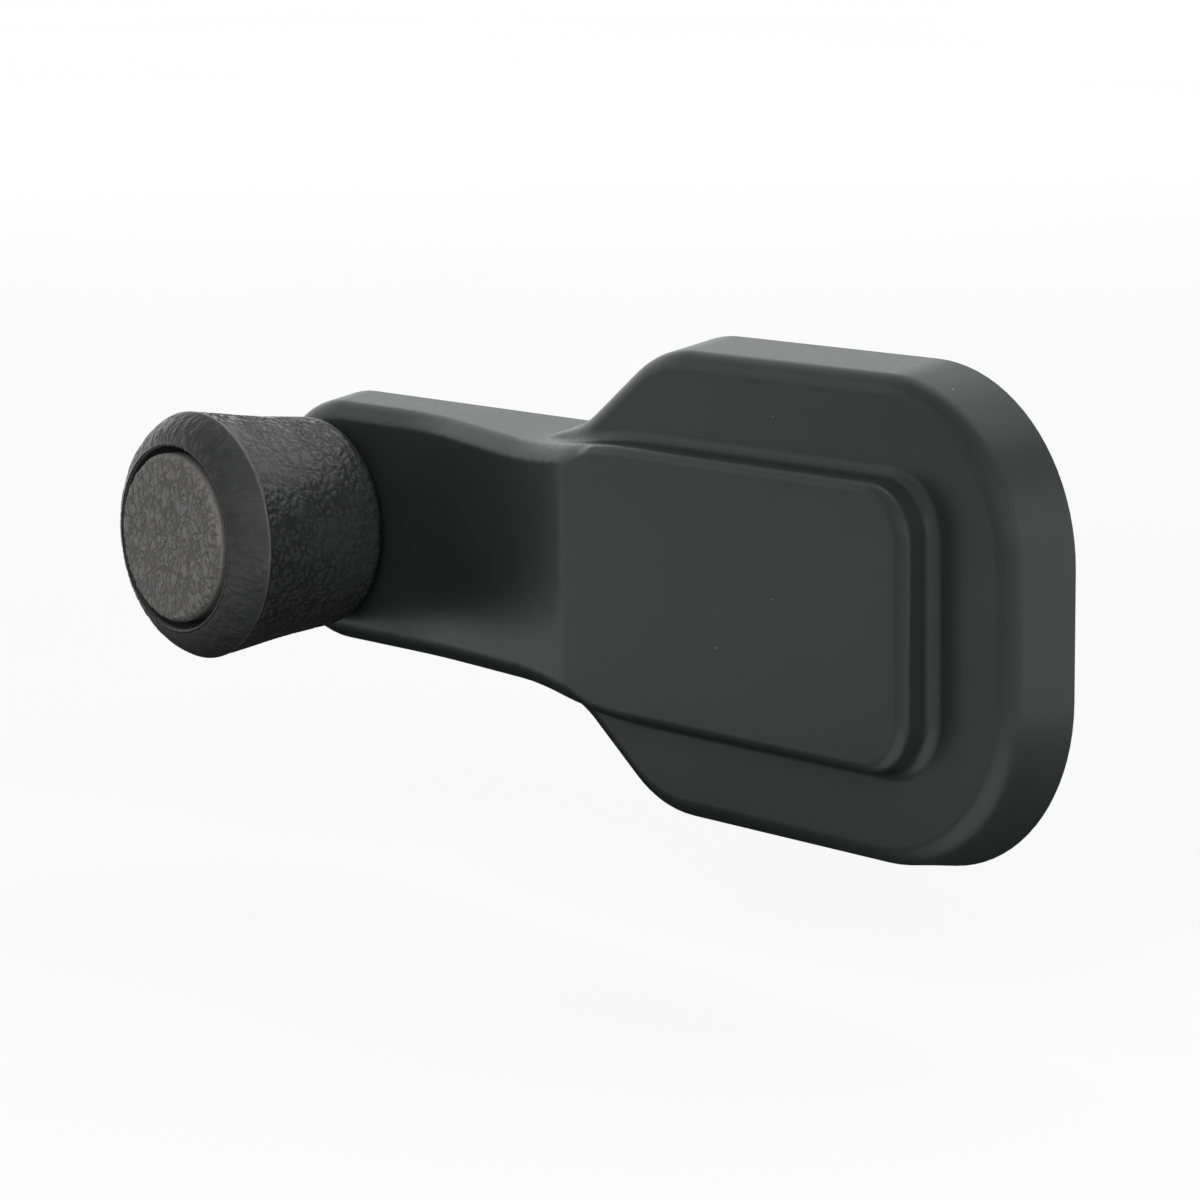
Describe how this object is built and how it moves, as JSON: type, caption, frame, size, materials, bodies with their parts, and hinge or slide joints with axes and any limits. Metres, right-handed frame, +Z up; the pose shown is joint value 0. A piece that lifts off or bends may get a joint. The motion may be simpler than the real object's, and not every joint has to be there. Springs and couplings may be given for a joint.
{
  "type": "window crank handle",
  "caption": "Hand crank for a car window: a square moulded base and arm over a steel lever with a toothed socket, and a free-turning flared grip knob with a cap.",
  "frame": {"origin": "centre of the socket's mouth, in the plane of the rim that lies against the door", "axes": "+Y points into the door along the socket, +X points from the knob to the base, +Z is up"},
  "size_m": [0.1367, 0.0302, 0.0548],
  "materials": {
    "cover": "satin",
    "grip": "leather grain",
    "cap": "leather grain",
    "lever": "dark dipped",
    "hub": "turned",
    "spindle": "turned",
    "fasteners": "zinc plated",
    "bearing_plastic": "natural"
  },
  "bodies": {
    "crank": {"crank_cover": "cover", "crank_lever": "lever", "spline_hub": "hub", "fixing_screw": "fasteners", "knob_spindle": "spindle", "thrust_washer": "bearing_plastic", "spring_washer": "fasteners", "retainer_washer": "fasteners", "retaining_clip": "fasteners"},
    "knob": {"knob_grip": "grip", "knob_bush": "bearing_plastic", "knob_cap": "cap"}
  },
  "joints": [
    {"name": "knob_spin", "type": "hinge", "parent": "crank", "child": "knob", "pos_m": [-0.0945, -0.018, 0], "axis": [0, -1, 0], "continuous": true}
  ]
}
